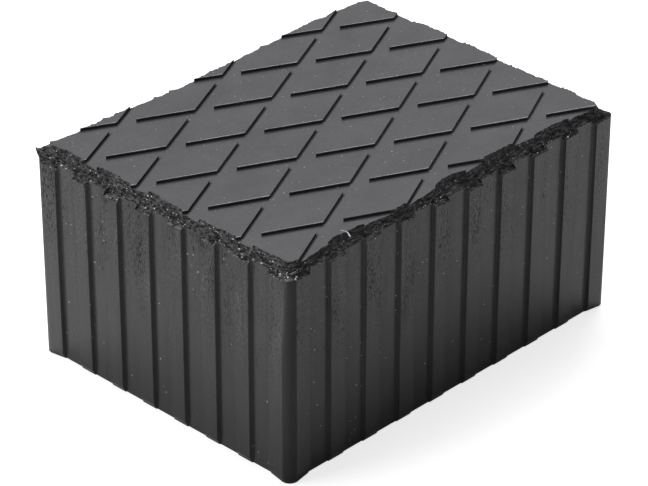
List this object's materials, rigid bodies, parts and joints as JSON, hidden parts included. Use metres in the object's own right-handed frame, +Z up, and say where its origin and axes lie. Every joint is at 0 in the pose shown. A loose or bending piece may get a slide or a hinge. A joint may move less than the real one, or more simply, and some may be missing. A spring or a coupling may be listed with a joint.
{
  "type": "car lift rubber pad",
  "caption": "Solid moulded rubber block that carries a vehicle on a lift: upright ribbed walls, a raised diamond tread on top, a torn moulding edge round the rim.",
  "frame": {"origin": "centre of the resting face", "axes": "+Z up, out of the diamond tread; +X along the long side"},
  "size_m": [0.16, 0.12, 0.081],
  "materials": {
    "rubber": "satin black, lightly scuffed and dusty"
  },
  "bodies": {
    "root": {"rubber_block": "rubber"}
  },
  "joints": []
}
